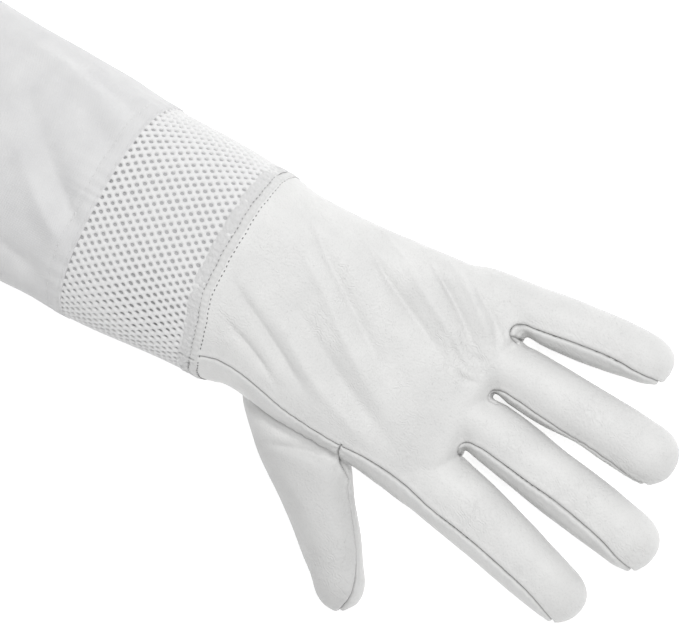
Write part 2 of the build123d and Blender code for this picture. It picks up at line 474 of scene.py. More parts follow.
# Folds on the back: reach to each side, height, and their line as it looks from the eye
FOLDS = [
    (6, -1.5, [(10, 43), (22, 35), (34, 26), (52, 13), (70, 0), (82, -8)]),
    (7, 1.2, [(2, 33), (20, 24), (38, 12), (56, -2), (74, -14), (92, -24)]),
    (5, -1.3, [(38, 43), (50, 38), (62, 31), (78, 23), (94, 15), (104, 10)]),
    (5.5, 1.1, [(50, 48), (66, 40), (82, 31), (98, 22), (108, 14)]),
    (4.5, -1.4, [(70, 49), (84, 42), (96, 34), (108, 24), (117, 15)]),
    (4.5, 1, [(82, 50), (96, 43), (108, 34), (117, 26)]),
    (4, -1.1, [(93, 49), (108, 40), (122, 30)]),
    (3.6, -1.3, [(-4, -1), (8, -8), (21, -15), (42, -26), (54, -32)]),
    (3.2, -1.1, [(0, -20), (8, -23.5), (23.5, -29.3), (38.6, -35)]),
    (8, -1.3, [(32, 0), (54, -13), (78, -25), (99, -34)]),
    (7, 0.9, [(30, -12), (52, -25), (76, -34), (94, -40)]),
    (2.2, -0.8, [(98, 22), (103, 17), (108, 14), (113, 12)]),
    (1.8, -0.7, [(101, 26), (107, 20), (112, 18), (116, 19)]),
    (1.6, -0.6, [(106, 11), (112, 8), (118, 8.5)]),
    (2.4, -0.7, [(112, 35), (117, 30), (120, 25)]),
]
# Creases of the palm side, in x and y, and of the thumb, as they look from the eye: reach, height, line
PALM_FOLDS = [
    (2.6, -1.1, [(118, 52), (112, 30), (108, 8), (104, -20), (98, -38)]),
    (3, -1.2, [(92, 50), (84, 28), (78, 6), (70, -10)]),
    (5, -1, [(60, 40), (66, 20), (72, 0)]),
    (4, -0.9, [(22, 30), (40, 22), (60, 20)]),
    (4, 0.8, [(16, 12), (34, 4), (52, 2)]),
    (3.5, -0.9, [(28, -20), (36, -6), (50, 4)]),
]
THUMB_FOLDS = [
    (3, -1, [(34, -51), (46, -52), (60, -52), (74, -51)]),
    (2.4, -1.4, [(45.8, -60.7), (55.8, -57.3), (66.8, -54), (78.4, -51.8)]),
    (3.4, -1.1, [(73.4, -84.2), (80.6, -89), (90.2, -94.5), (96.3, -97.3)]),
    (5, 0.7, [(60, -68), (75, -76), (90, -86)]),
]
# Where two fingers touch: from the crotch out, as x and y, and how far each side comes towards the line
FINGER_GAPS = [
    ((124, 36.6), (146, 36.4), 0.35),
    ((124, 8), (160, 4.6), 1.15),
    ((124, -20.5), (134, -22.6), 0.2),
]
GAP_LEFT = 0.44
# Places where the leather is eased, as x and y
CROTCHES = ((124, 36.5), (125, 7), (126, -20))
KNUCKLE_ENDS = ((107, 57), (107, -52))
TAPE_EDGE, TAPE_RISE = 7.5, 1.25  # where the leather leaves the tape, and how high it is lifted there
UNEVENNESS = [(0.30, 24, 1), (0.14, 9, 2)]  # height, size and seed


def cast(tree, points, ray):
    """A curve through a few given points, laid on the surface by a ray for each point of the curve."""
    hits = [tree.ray_cast(*ray(x, y))[0] for x, y in curve_points(points)]
    return ease(even(np.array([hit[:] for hit in hits if hit is not None])), CAST_EASE)


def cast_from_eye(tree, points):
    eye = Vector(EYE)
    return cast(tree, points, lambda x, y: (eye, (Vector((x, y, VIEW_PLANE_Z)) - eye).normalized()))


def cast_up(tree, points):
    return cast(tree, points, lambda x, y: (Vector((x, y, -50)), Vector((0, 0, 1))))


def snapped(tree, points):
    """A line through points beside the surface, moved onto it."""
    span = np.arange(len(points)) / (len(points) - 1)
    line = spline(span, np.array(points, float), np.linspace(0, 1, 40 * len(points)))
    return ease(even(nearest_on(tree, line)), CAST_EASE)


def seam_tip(seams, name):
    """Where the back's seam of a finger or the thumb ends."""
    return seams["back_" + ("strip" if name == "index" else name)][-1]


def palm_seam(name, share, tip):
    """Seam under a finger, beside its middle line, from the crotch to where the back's seam ends."""
    rows = np.array(STALLS[name])
    line = []
    for k in range(1, len(rows) - 1):
        along = rows[k + 1][:2] - rows[k - 1][:2]
        along /= np.linalg.norm(along)
        line.append(rows[k][:2] + sideways(along) * rows[k][2] * share)
    line.append(np.array(tip[:2]) * PALM_TIP_SHARE + rows[-2][:2] * (1 - PALM_TIP_SHARE))
    return line


def leather_seams(tree):
    """Every seam of the leather as a line of points on it."""
    seams = {"back_" + name: cast_from_eye(tree, points) for name, points in BACK_SEAMS.items()}
    seams["strip_joint"] = cast_from_eye(tree, STRIP_JOINT)
    for k, points in enumerate(GUSSET_JOINTS):
        seams[f"gusset_joint_{k}"] = cast_from_eye(tree, points)
    for name, points in PALM_SEAMS.items():
        seams["palm_" + name] = cast_up(tree, points)
    for name in FINGERS:
        seams["palm_in_" + name] = cast_up(tree, palm_seam(name, PALM_INNER, seam_tip(seams, name)))
        if name != "little":
            seams["palm_out_" + name] = cast_up(tree, palm_seam(name, PALM_OUTER, seam_tip(seams, name)))
    seams["palm_in_thumb"] = cast_up(tree, palm_seam("thumb", PALM_OUTER, seam_tip(seams, "thumb")))
    seams["strip_low"] = snapped(tree, STRIP_LOW)
    seams["thumb_top"] = snapped(tree, [seams["strip_joint"][-1], seams["back_thumb"][0]])
    for name in STALLS:
        for side in ("palm_in_", "palm_out_"):
            if side + name in seams:
                ends = [seam_tip(seams, name), seams[side + name][-1]]
                seams["tip_" + side + name] = snapped(tree, ends)
    return seams


def near_lines(co, lines, reach):
    """For each point: distance to the nearest line, the nearest point on it, and how far along it that is."""
    samples = np.concatenate(lines)
    along = np.concatenate([np.arange(len(line)) * LINE_STEP for line in lines])
    tree = KDTree(len(samples))
    for k, sample in enumerate(samples):
        tree.insert(sample, k)
    tree.balance()
    distance = np.full(len(co), FAR)
    nearest = np.zeros(len(co), dtype=int)
    low, high = samples.min(axis=0) - reach, samples.max(axis=0) + reach
    for k in np.nonzero(np.all((co > low) & (co < high), axis=1))[0]:
        _, index, gap = tree.find(co[k])
        if gap < reach:
            distance[k] = gap
            nearest[k] = index
    return distance, samples[nearest], along[nearest]


def refine_near(obj, seams):
    """Halves the mesh's edges beside the seams, where the surface turns sharply."""
    near = near_lines(coordinates(obj.data), list(seams.values()), FINE_REACH)[0] < FINE_REACH
    with edited(obj.data) as bm:
        chosen = [edge for edge in bm.edges if near[edge.verts[0].index] and near[edge.verts[1].index]]
        bmesh.ops.subdivide_edges(bm, edges=chosen, cuts=1, use_grid_fill=True)


def sunk_seams(co, normal, seams):
    """Leather drawn down into its seams, with round lips beside them and a little pucker along them, and how
    strongly shade is painted at each point of a seam.
    """
    distance, spot, along = near_lines(co, list(seams.values()), SEAM_SIDES)
    away = spot - co
    away -= normal * np.sum(away * normal, axis=1)[:, None]
    snap = distance < 0.3 * VOXEL
    co = co + np.where(snap[:, None], away, 0)
    distance = np.where(snap, 0, distance)
    groove = -SEAM_DEPTH * bell(distance / SEAM_REACH)
    lip = LIP_HEIGHT * bell((distance - LIP_AT) / LIP_REACH)
    wave = np.sin(along * 1.05 + 1.7 * np.sin(along * 0.23)) * (0.65 + 0.5 * np.sin(along * 0.11 + 1))
    wave *= bell((distance - PUCKER_AT) / PUCKER_REACH)
    shift = groove + lip + PUCKER * wave
    return co + normal * shift[:, None], bell(distance / SEAM_PAINTED_SHADE)


def fold_shift(co, facing, folds, lay, tree, scale, sharp):
    """Height of all the folds at each point, where the surface faces the way the folds are on."""
    shift = np.zeros(len(co))
    for reach, height, points in folds:
        line = lay(tree, points)
        distance, _, along = near_lines(co, [line], 3.2 * reach)
        whole = len(line) * LINE_STEP
        ends = smooth(np.clip(np.minimum(along, whole - along) / (0.35 * whole), 0, 1))
        width = reach * (0.75 + 0.5 * along / whole)
        ridge = (1 - sharp) * bell(distance / width) + sharp * bell(distance / (0.36 * width))
        shift += np.where(facing, scale * height * ridge * (0.25 + 0.75 * ends), 0)
    return shift


def close_gaps(co):
    """Brings the sides of two fingers together where they press on each other, near the crotch."""
    for start, end, most in FINGER_GAPS:
        start, end = np.array(start), np.array(end)
        along = end - start
        length = np.linalg.norm(along)
        along /= length
        side = sideways(along)
        u, v = (co[:, :2] - start) @ along, (co[:, :2] - start) @ side
        run = np.clip((u - 4) / 6, 0, 1) * np.clip((length + 8 - u) / 14, 0, 1)
        fade = bell(np.abs(v) / 5) * (np.abs(v) < 14)
        push = np.minimum(most * run * fade, np.maximum(np.abs(v) - GAP_LEFT / 2, 0))
        co[:, :2] -= side * (np.sign(v) * push)[:, None]
    return co


def around_spots(co, spots, reach_x, reach_y):
    """Weight from 0 to 1 of each point: 1 at the spots, fading out over the reach in x and y."""
    weight = np.zeros(len(co))
    for x, y in spots:
        away = ((co[:, 0] - x) / reach_x) ** 2 + ((co[:, 1] - y) / reach_y) ** 2
        weight = np.maximum(weight, np.exp(-away))
    return weight


def eased_leather(mesh):
    """Softens the leather where its fused parts meet."""
    co, edges = coordinates(mesh), edge_array(mesh)
    beside_thumb = (co[:, 0] > 18) * (co[:, 0] < 96) * (co[:, 2] < 40)
    thumb_crease = bell((co[:, 1] + 48) / 9) * beside_thumb
    crotch = around_spots(co, CROTCHES, 7, 7)
    co = relax(co, edges, 0.55 * np.maximum(crotch, 0.8 * thumb_crease), 14)
    co = relax(co, edges, 0.6 * around_spots(co, KNUCKLE_ENDS, 14, 9), 40)
    co = close_gaps(co)
    set_coordinates(mesh, co)
    return co


def folded_leather(co, normal, tree):
    """Folds and unevenness, which fade out at the cuff, where the leather lies on the tape."""
    up, down = normal[:, 2] > 0.15, normal[:, 2] < -0.2
    shift = fold_shift(co, up, FOLDS, cast_from_eye, tree, FOLD_HEIGHT, 0.4)
    shift += fold_shift(co, up, THUMB_FOLDS, cast_from_eye, tree, 1, 0.15)
    shift += fold_shift(co, down, PALM_FOLDS, cast_up, tree, 1.2, 0.3)
    shift += sum(height * lattice_noise(co, size, seed) for height, size, seed in UNEVENNESS)
    from_tape = co[:, 0] - TAPE_EDGE
    shift *= np.clip((from_tape + 0.5) / 9, 0.1, 1)
    shift += TAPE_RISE * bell(np.maximum(from_tape, 0) / 6)
    return co + normal * shift[:, None]


def finished_leather():
    """The whole leather with its folds and seams, and its seams' lines."""
    obj = leather_form()
    mesh = obj.data
    co = eased_leather(mesh)
    tree = surface_tree(mesh)
    seams = leather_seams(tree)
    set_coordinates(mesh, folded_leather(co, normals(mesh), tree))
    tree = surface_tree(mesh)
    seams = {name: ease(nearest_on(tree, line), 3) for name, line in seams.items()}
    refine_near(obj, seams)
    co, seam_painted_shade = sunk_seams(coordinates(mesh), normals(mesh), seams)
    co[:, 2] = np.maximum(co[:, 2], 0.02)
    set_coordinates(mesh, co)
    # weight of the shade painted dark into the seams' grooves
    add_attribute(mesh, "seam", seam_painted_shade)
    return obj, seams


# ---------------- the tube of the sleeve, the mesh and the cuff
# Sections of the tube: x, y of the thumb side, y of the little-finger side, height, squareness
TUBE_SECTIONS = [
    (-275, -46, 46, 92, 2.02),
    (-251, -46.6, 46.6, 92.6, 2.05),
    (-226, -53, 53.5, 95, 2.2),
    (-190, -54.8, 57, 95.6, 2.3),
    (-120, -53.2, 56.2, 93, 2.35),
    (-52, -50.3, 51.9, 87.4, 2.45),
    (-24, -49.7, 51.2, 84.6, 2.5),
    (2.5, -49, 50, 80.6, 2.5),
    (12, -48.3, 49.4, 77.4, 2.5),
]
CANVAS_START, CANVAS_END = -251, -53.5
HEM_START = -275.0
MESH_START, MESH_END = -60, 1.5
MESH_TOP = 1.5
HOLE_PITCH_ROUND, HOLE_PITCH_ALONG = 3.88, 2.64
HOLE_HALF_ROUND, HOLE_HALF_ALONG = 0.78, 1.0
ROUND = 306.0  # about the tube's length round
TUBE_HALF_WIDTH, TUBE_HALF_HEIGHT = 51, 44
TUBE_MIDDLE_Y, TUBE_MIDDLE_Z = 0.4, 46
TABLE_TURN = np.linspace(-math.pi / 2, 1.5 * math.pi, 2001)
MESH_THICK = 0.95
# From the cell's edge at 0 to the hole's at 1, and height
HOLE_PROFILE = [(0, 0.16), (0.40, 0.10), (0.76, -0.06), (1, -0.34), (1.05, -0.95)]
FACE_SINK, BACK_SINK = 1.3, 2.2  # how far the mesh goes down under the canvas's edge
ALLOWANCE_PROFILE = [(-2.5, 0.5), (-2.2, 1.4), (-1, 1.8), (1.2, 1.9), (3, 1.8), (3.7, 1.5)]
TAPE_PROFILE = [
    (3.2, 1), (3.45, 1.6), (3.9, 1.95), (5, 2.1), (6.1, 1.95), (6.7, 1.5), (7, 0.6), (7.05, -0.6),
    (6.9, -1.8),
]
HOLE_SIZE_SPREAD, HOLE_PLACE_SPREAD = 0.08, 0.09
BACK_COUNT, BACK_ROWS = 620, 120
BAND_COUNT, BAND_ROWS = 1400, 26
CUFF_STITCH_PITCH, SWELL_PITCH = 2.3, 2.8
NOTCH_DEPTH, NOTCH_REACH, NOTCH_LIP, NOTCH_LIP_AT = 0.8, 0.6, 0.3, 1.6
STITCH_STEPS, STITCH_SIDES = 5, 6


def turn_table():
    """Angle round a section of the tube at which each even share of its length round is reached."""
    c, s = superellipse(TABLE_TURN, 2.5)
    share = run_along(np.stack([TUBE_HALF_WIDTH * c, TUBE_HALF_HEIGHT * s], axis=1))
    return share / share[-1]


TABLE_SHARE = turn_table()


def tube(share, x, off):
    """Points of the tube, at a share of the way round from the underside's middle, raised by off."""
    share, x, off = np.broadcast_arrays(np.asarray(share, float) % 1.0, x, off)
    xs = np.array([r[0] for r in TUBE_SECTIONS])
    rows = pchip(xs, np.array([r[1:] for r in TUBE_SECTIONS]), x.ravel())
    low, high, height, square = [column.reshape(x.shape) for column in rows.T]
    c, s = superellipse(np.interp(share, TABLE_SHARE, TABLE_TURN), square)
    a, b = (high - low) / 2, height / 2
    ny, nz = signed(c, square - 1) / a, signed(s, square - 1) / b
    size = np.hypot(ny, nz)
    middle, level = (low + high) / 2, b + lift(x)
    return np.stack([x, middle + a * c + off * ny / size, level + b * s + off * nz / size], axis=-1)


def share_round(co):
    """Each point's share of the way round the tube, from its direction about the tube's middle."""
    up, across = (co[:, 2] - TUBE_MIDDLE_Z) / TUBE_HALF_HEIGHT, (co[:, 1] - TUBE_MIDDLE_Y) / TUBE_HALF_WIDTH
    turn = np.arctan2(up, across)
    turn = np.where(turn < -math.pi / 2, turn + 2 * math.pi, turn)
    return np.interp(turn, TABLE_TURN, TABLE_SHARE)


def grid_object(name, points, uv):
    """Mesh of rows of points that close round the tube, with a map of the cloth in millimetres."""
    rows, count = points.shape[:2]
    index = np.arange(rows * count).reshape(rows, count)
    after = np.roll(index, -1, axis=1)
    faces = np.stack([index[:-1], after[:-1], after[1:], index[1:]], axis=-1).reshape(-1, 4)
    obj = new_object(name, points.reshape(-1, 3), faces.tolist())
    across = np.repeat(uv[0][None, :], rows, axis=0)
    right = across + uv[0][1] - uv[0][0]
    along = np.repeat(uv[1][:, None], count, axis=1)
    corners_u = np.stack([across[:-1], right[:-1], right[:-1], across[:-1]], axis=-1).reshape(-1)
    corners_v = np.stack([along[:-1], along[:-1], along[1:], along[1:]], axis=-1).reshape(-1)
    layer = obj.data.uv_layers.new(name="cloth")
    layer.data.foreach_set("uv", np.stack([corners_u, corners_v], axis=1).ravel().astype(np.float32))
    shade_smooth(obj)
    return obj


def hole_rings(columns, around):
    """Middles of the cells of the mesh's slanting lattice, and outline and height of each ring of a hole."""
    p, q = HOLE_PITCH_ALONG, HOLE_PITCH_ROUND
    # corners and side middles of the cell of a lattice with steps (p, q / 2) and (0, q)
    slant = (p * p + q * q / 4) / (2 * p)
    inner = p - slant
    corners = [(slant, 0), (inner, q / 2), (-inner, q / 2), (-slant, 0), (-inner, -q / 2), (inner, -q / 2)]
    outline = []
    for corner, following in zip(corners, corners[1:] + corners[:1]):
        outline += [corner, ((corner[0] + following[0]) / 2, (corner[1] + following[1]) / 2)]
    outline = np.array(outline)
    angle = np.arctan2(outline[:, 1] / HOLE_HALF_ROUND, outline[:, 0] / HOLE_HALF_ALONG)
    oval = np.stack([HOLE_HALF_ALONG * np.cos(angle), HOLE_HALF_ROUND * np.sin(angle)], axis=1)
    i, j = np.meshgrid(np.arange(columns), np.arange(around), indexing="ij")
    centre_x = MESH_START + (i.ravel() + 0.5) * p
    centre_s = j.ravel() * q + (i.ravel() % 2) * q / 2
    size = 1 + rng.uniform(-HOLE_SIZE_SPREAD, HOLE_SIZE_SPREAD, len(centre_x))
    shift = rng.uniform(-HOLE_PLACE_SPREAD, HOLE_PLACE_SPREAD, (len(centre_x), 2))
    rings = []
    for share, height in HOLE_PROFILE:
        ring = outline[None] * (1 - share) + oval[None] * share * (size[:, None, None] if share > 0 else 1)
        rings.append((ring + (shift[:, None, :] if share > 0 else 0), height))
    return centre_x, centre_s, rings


def vent_mesh():
    """The top face of the spacer mesh, with an open oval hole in every cell of its slanting lattice."""
    around = round(ROUND / HOLE_PITCH_ROUND)
    columns = int((MESH_END - MESH_START) / HOLE_PITCH_ALONG) + 1
    centre_x, centre_s, rings = hole_rings(columns, around)
    phase = rng.uniform(0, 6.28, 3)
    verts = []
    for ring, height in rings:
        x = centre_x[:, None] + ring[:, :, 0]
        s = centre_s[:, None] + ring[:, :, 1]
        soft = 0.35 * np.sin(s / 17 + phase[0]) * np.sin(x / 14 + phase[1])
        under = FACE_SINK * np.clip((CANVAS_END - 0.5 - x) / 1.6, 0, 1)
        share = s / (around * HOLE_PITCH_ROUND)
        verts.append(tube(share, x, MESH_TOP + height + soft - under).reshape(-1, 3))
    points = rings[0][0].shape[1]
    cell = np.arange(len(centre_x))[:, None] * points
    base, turned = cell + np.arange(points), cell + (np.arange(points) + 1) % points
    block = len(centre_x) * points
    quads = np.stack([base, turned, turned + block, base + block], axis=-1).reshape(-1, 4)
    faces = np.concatenate([quads + k * block for k in range(len(rings) - 1)])
    obj = new_object("vent_mesh_face", np.concatenate(verts), faces.tolist())
    with edited(obj.data) as bm:
        bmesh.ops.remove_doubles(bm, verts=bm.verts, dist=0.02)
        bmesh.ops.recalc_face_normals(bm, faces=bm.faces)
    shade_smooth(obj)
    return obj


def vent_mesh_back():
    """The closed inner face of the spacer mesh, with its zigzag of spacer yarn seen through the holes."""
    share = np.arange(BACK_COUNT) / BACK_COUNT
    x = np.linspace(MESH_START, MESH_END, BACK_ROWS)
    turn = share[None] * 2 * math.pi
    yarn = 0.16 * np.sin(turn * 205 + x[:, None] * 1.4) + 0.10 * np.sin(turn * 164 - x[:, None] * 2.1)
    under = BACK_SINK * np.clip((CANVAS_END - 0.5 - x[:, None]) / 3, 0, 1)
    points = tube(share[None], x[:, None], MESH_TOP - MESH_THICK + yarn - under)
    return grid_object("vent_mesh_back", points, (share * ROUND, x))


def cuff_wander(round_mm):
    """How far the cuff's edge and its stitches stray along the sleeve."""
    return 0.16 * np.sin(round_mm * 0.29) + 0.10 * np.sin(round_mm * 0.71)


def band_profile(name, profile, ripple, joints, rough):
    """A band round the cuff: profile is x and height, ripple the swell between its stitches."""
    profile = np.asarray(profile, float)
    span = run_along(profile)
    fine = spline(span, profile, np.linspace(0, span[-1], BAND_ROWS))
    share = np.arange(BAND_COUNT) / BAND_COUNT
    x, height = fine[:, 0][:, None], fine[:, 1][:, None]
    fade = np.clip((height - 0.3) / 0.8, 0, 1)
    along = share[None] * ROUND
    height = height + ripple * fade * np.sin(along * 2 * math.pi / SWELL_PITCH + 0.8 * np.sin(along * 0.11))
    height = height + 0.22 * fade * np.sin(along * 0.37 + x * 0.3) * np.sin(along * 0.083)
    x = x + cuff_wander(along)
    spots = np.stack([x, along + 0 * x, 0 * x], axis=-1).reshape(-1, 3)
    height = height + rough * (lattice_noise(spots, 0.8, 11) + lattice_noise(spots, 2.1, 12)).reshape(x.shape)
    for at in joints:
        apart = np.abs((share[None] - at) * ROUND)
        notch = NOTCH_LIP * bell(apart - NOTCH_LIP_AT) - NOTCH_DEPTH * bell(apart / NOTCH_REACH)
        height = height + fade * notch
    return grid_object(name, tube(share[None], x, height), (share * ROUND, fine[:, 0]))


def stitches(name, spots, ups, pitch, length, radius, sink=0.0):
    """A row of short threads along a line of points, thick in the middle and sunk at their ends."""
    spots, ups = np.asarray(spots), np.asarray(ups)
    span = run_along(spots)
    bow = np.sin(np.linspace(0, math.pi, STITCH_STEPS))
    turn = whole_turn(STITCH_SIDES)
    threads = []
    for start in np.arange(0.4, span[-1] - length, pitch):
        at = start + np.linspace(0, length, STITCH_STEPS)
        parts = [np.interp(at, span, part) for line in (spots, ups) for part in line.T]
        middle, up = np.stack(parts[:3], axis=1), np.stack(parts[3:], axis=1)
        along = middle[-1] - middle[0]
        along /= max(np.linalg.norm(along), 1e-6)
        side = np.cross(along, up)
        side /= np.linalg.norm(side, axis=1)[:, None]
        middle = middle + up * (radius * (1.3 * bow - 0.5) - sink)[:, None]
        around = side[:, None] * np.cos(turn)[None, :, None] + up[:, None] * np.sin(turn)[None, :, None]
        threads.append(loft_mesh(middle[:, None] + around * (radius * (0.45 + 0.55 * bow))[:, None, None]))
    obj = new_object(name, *join(threads))
    shade_smooth(obj)
    return obj


def cuff_row(name, x, height, length, radius):
    share = np.arange(0, 1, LINE_STEP / ROUND)
    x = x + cuff_wander(share * ROUND)
    spots = tube(share, x, height)
    return stitches(name, spots, tube(share, x, height + 1) - spots, CUFF_STITCH_PITCH, length, radius)


def cuff_pieces(seams):
    """The mesh's edge, the tape over it, with notches where the leather's seams end, and the stitches."""
    joints = share_round(np.array([seams[name][0] for name in ("back_strip", "strip_low", "palm_outer")]))
    return (
        band_profile("mesh_allowance", ALLOWANCE_PROFILE, 0.08, joints, 0.24),
        band_profile("binding_tape", TAPE_PROFILE, 0.10, joints, 0.08),
        cuff_row("binding_stitches_mesh_side", 3.45, 1.72, 1.2, 0.22),
        cuff_row("binding_stitches_leather_side", 7.3, 1.30, 1.6, 0.27),
    )


# ---------------- the canvas sleeve
CANVAS_AROUND, CANVAS_ROWS = 108, 66
CANVAS_OFF = 2.0
SLACK, WIDER, TWIST = 1.06, 1.03, 0.08  # how much longer and wider the cloth is than its place, and its turn
FOLD_WIDTH = 8.0  # of the edge folded over the mesh
CANVAS_MOVE_MOST = 7.0
# Folds of the canvas as they look from the eye: reach, height, line
CANVAS_FOLDS = [
    (7, -2.6, [(-130, 27), (-111, 10), (-92, -6), (-80, -14), (-70, -18)]),
    (6, 1.8, [(-124, 4), (-104, -12), (-88, -22), (-72, -28)]),
    (6, -2.2, [(-116, 37), (-98, 32), (-82, 26), (-66, 21)]),
    (6.5, 2, [(-140, 50), (-113, 45), (-94, 40), (-76, 35)]),
    (5, -1.5, [(-100, 48), (-84, 45), (-66, 40)]),
    (9, -2.4, [(-220, 30), (-196, 8), (-172, -12), (-150, -30)]),
    (8, 2, [(-204, 38), (-180, 20), (-156, 2), (-138, -14)]),
    (6, -1.6, [(-178, 44), (-158, 30), (-140, 18)]),
    (7, -1.8, [(-120, -38), (-98, -42), (-78, -45)]),
]
TOPSTITCH_X = (CANVAS_END - 1.6, CANVAS_END - 7.4)
CANVAS_THICK = 0.7
CASING_COUNT = 1320
CASING_OUT, CASING_IN, RIM_DEPTH = 2, -1.4, 1.2  # how far its two layers are raised, and its rim's turn
GATHERS, GATHER_HEIGHT, GATHER_REACH = 44, 1.25, 15
# Relief of the folded edge: its rise, its turn down to the mesh, the dents of its stitches and the puckers
EDGE_RISE, EDGE_TURN, STITCH_DENT, PUCKER_RISE = 0.15, 1.1, 0.25, 0.30
CLOTH_STEPS = 26
CLOTH_SETTINGS = {
    "quality": 8, "mass": 0.02, "air_damping": 1.5,
    "tension_stiffness": 20, "compression_stiffness": 20, "shear_stiffness": 4, "bending_stiffness": 0.02,
    "use_pressure": True, "uniform_pressure_force": 0.8,
}


def canvas_rest(share, x):
    """The cloth's own shape: longer than the gap it is sewn into, wider, and turned about its length."""
    run = (x - CANVAS_START) / (CANVAS_END - CANVAS_START)
    turned = tube(share[None] + TWIST * (1 - run[:, None]) ** 1.5, x[:, None], CANVAS_OFF)
    turned[..., 1] *= WIDER
    turned[..., 2] = (turned[..., 2] - TUBE_MIDDLE_Z) * WIDER + TUBE_MIDDLE_Z
    turned[..., 0] = CANVAS_END + (turned[..., 0] - CANVAS_END) * SLACK
    return turned


def simulate_canvas(obj, rest, pinned):
    """Cloth simulation: the canvas, longer than its place, buckles into the folds of a worn sleeve."""
    scene = bpy.context.scene
    obj.shape_key_add(name="Basis")
    key = obj.shape_key_add(name="rest")
    key.data.foreach_set("co", np.ascontiguousarray(to_frame(rest.reshape(-1, 3))).ravel())
    group = obj.vertex_groups.new(name="pinned")
    group.add([int(v) for v in pinned], 1.0, "REPLACE")
    cloth = obj.modifiers.new("cloth", "CLOTH")
    for name, value in CLOTH_SETTINGS.items():
        setattr(cloth.settings, name, value)
    cloth.settings.vertex_group_mass = "pinned"
    cloth.settings.rest_shape_key = key
    cloth.settings.effector_weights.gravity = 0
    cloth.point_cache.frame_start = 1
    cloth.point_cache.frame_end = CLOTH_STEPS + 2
    cloth.collision_settings.use_collision = False
    for step in range(CLOTH_STEPS):
        scene.frame_set(1 + step)
    evaluated = obj.evaluated_get(bpy.context.evaluated_depsgraph_get())
    result = coordinates(evaluated.to_mesh())
    evaluated.to_mesh_clear()
    obj.modifiers.clear()
    obj.shape_key_clear()
    scene.frame_set(1)
    return result


def gathers(share, x):
    """Height of the gathers that the elastic draws up, fading out along the sleeve."""
    turn = share * 2 * math.pi
    phase = GATHERS * turn + 1.6 * np.sin(5 * turn) + 1.1 * np.sin(9 * turn + 1)
    ridge = 1 - 2 * np.abs(np.sin(phase / 2)) ** 1.4
    strength = 0.75 + 0.25 * np.sin(7 * turn + 2)
    return GATHER_HEIGHT * ridge * strength * np.exp(-np.clip(x - CANVAS_START, 0, None) / GATHER_REACH)


def canvas_rise(co, normal, tree):
    """How far the simulated canvas is raised by its gathers, folded edge, stitching and folds."""
    x, share = co[:, 0], share_round(co)
    to_edge = CANVAS_END - x
    rise = gathers(share, x)
    rise += EDGE_RISE * smooth(np.clip((x - (CANVAS_END - FOLD_WIDTH)) / 0.9, 0, 1))
    for line in TOPSTITCH_X:
        rise -= STITCH_DENT * bell((x - line) / 0.9)
    pucker = np.exp(-np.clip(to_edge, 0, None) / 9)
    rise += PUCKER_RISE * pucker * np.sin(share * ROUND * 0.85 + 2.4 * np.sin(share * 40))
    rise += 0.35 * lattice_noise(co, 15, 5) * (1 - pucker)
    folds = fold_shift(co, normal[:, 2] > -0.1, CANVAS_FOLDS, cast_from_eye, tree, 1.4, 0.12)
    rise += folds * np.clip(to_edge / 12, 0, 1)
    return rise - EDGE_TURN * np.clip((0.8 - to_edge) / 0.8, 0, 1) ** 2


def canvas_sleeve():
    share = np.arange(CANVAS_AROUND) / CANVAS_AROUND
    x = np.linspace(CANVAS_START, CANVAS_END, CANVAS_ROWS)
    points = tube(share[None], x[:, None], CANVAS_OFF)
    uneven = 1.2 * lattice_noise(points.reshape(-1, 3), 26, 21).reshape(points.shape[:2])
    ends = np.clip(np.minimum(x - CANVAS_START, CANVAS_END - x) / 20, 0, 1)
    points = tube(share[None], x[:, None], CANVAS_OFF + uneven * ends[:, None])
    obj = grid_object("canvas_sleeve", to_frame(points), (share * ROUND, x))
    points = points.reshape(-1, 3)
    rows = np.arange(len(points)).reshape(CANVAS_ROWS, CANVAS_AROUND)
    pinned = np.concatenate([rows[:2].ravel(), rows[-4:].ravel()])
    move = simulate_canvas(obj, canvas_rest(share, x), pinned) / MM - SHIFT - points
    far = np.linalg.norm(move, axis=1)
    points = points + move * np.minimum(1, CANVAS_MOVE_MOST / np.maximum(far, 1e-6))[:, None]
    set_coordinates(obj.data, points)
    mesh = applied(obj, "SUBSURF", levels=2, render_levels=2, uv_smooth="NONE", boundary_smooth="ALL")
    co, normal = coordinates(mesh), normals(mesh)
    co = co + normal * canvas_rise(co, normal, surface_tree(mesh))[:, None]
    co[:, 2] = np.maximum(co[:, 2], 0.05)
    set_coordinates(mesh, co)
    shade_smooth(obj)
    return obj


def elbow_casing():
    """The casing at the elbow: canvas turned in on itself over the elastic and drawn up into gathers."""
    share = np.arange(CASING_COUNT) / CASING_COUNT
    rim = HEM_START + RIM_DEPTH
    outer = np.linspace(CANVAS_START + 3, rim, 38)
    inner = np.linspace(rim, CANVAS_START - 1, 22)
    turn = np.linspace(0, math.pi, 9)[1:-1]
    x = np.concatenate([outer, rim - RIM_DEPTH * np.sin(turn), inner])[:, None]
    rim_off = (CASING_OUT + CASING_IN) / 2 + (CASING_OUT - CASING_IN) / 2 * np.cos(turn)
    off = np.concatenate([np.full(len(outer), CASING_OUT), rim_off, np.full(len(inner), CASING_IN)])
    height = np.repeat(off[:, None], CASING_COUNT, axis=1)
    wave = gathers(share[None], np.full((len(x), 1), CANVAS_START)) * (0.85 + 0.15 * np.sin(x * 0.5))
    height += wave * np.where(np.arange(len(x)) < len(outer), 1, 0.55)[:, None]
    height -= 0.7 * bell((x - CANVAS_START + 1.4) / 0.9)
    height -= 1.5 * np.clip((x - CANVAS_START + 0.3) / 1.2, 0, 1)
    points = tube(share[None], x + 0 * share[None], height)
    points[..., 2] = np.maximum(points[..., 2], 0.05)
    return grid_object("elbow_casing", points, (share * ROUND, np.arange(len(x)) * 0.8))


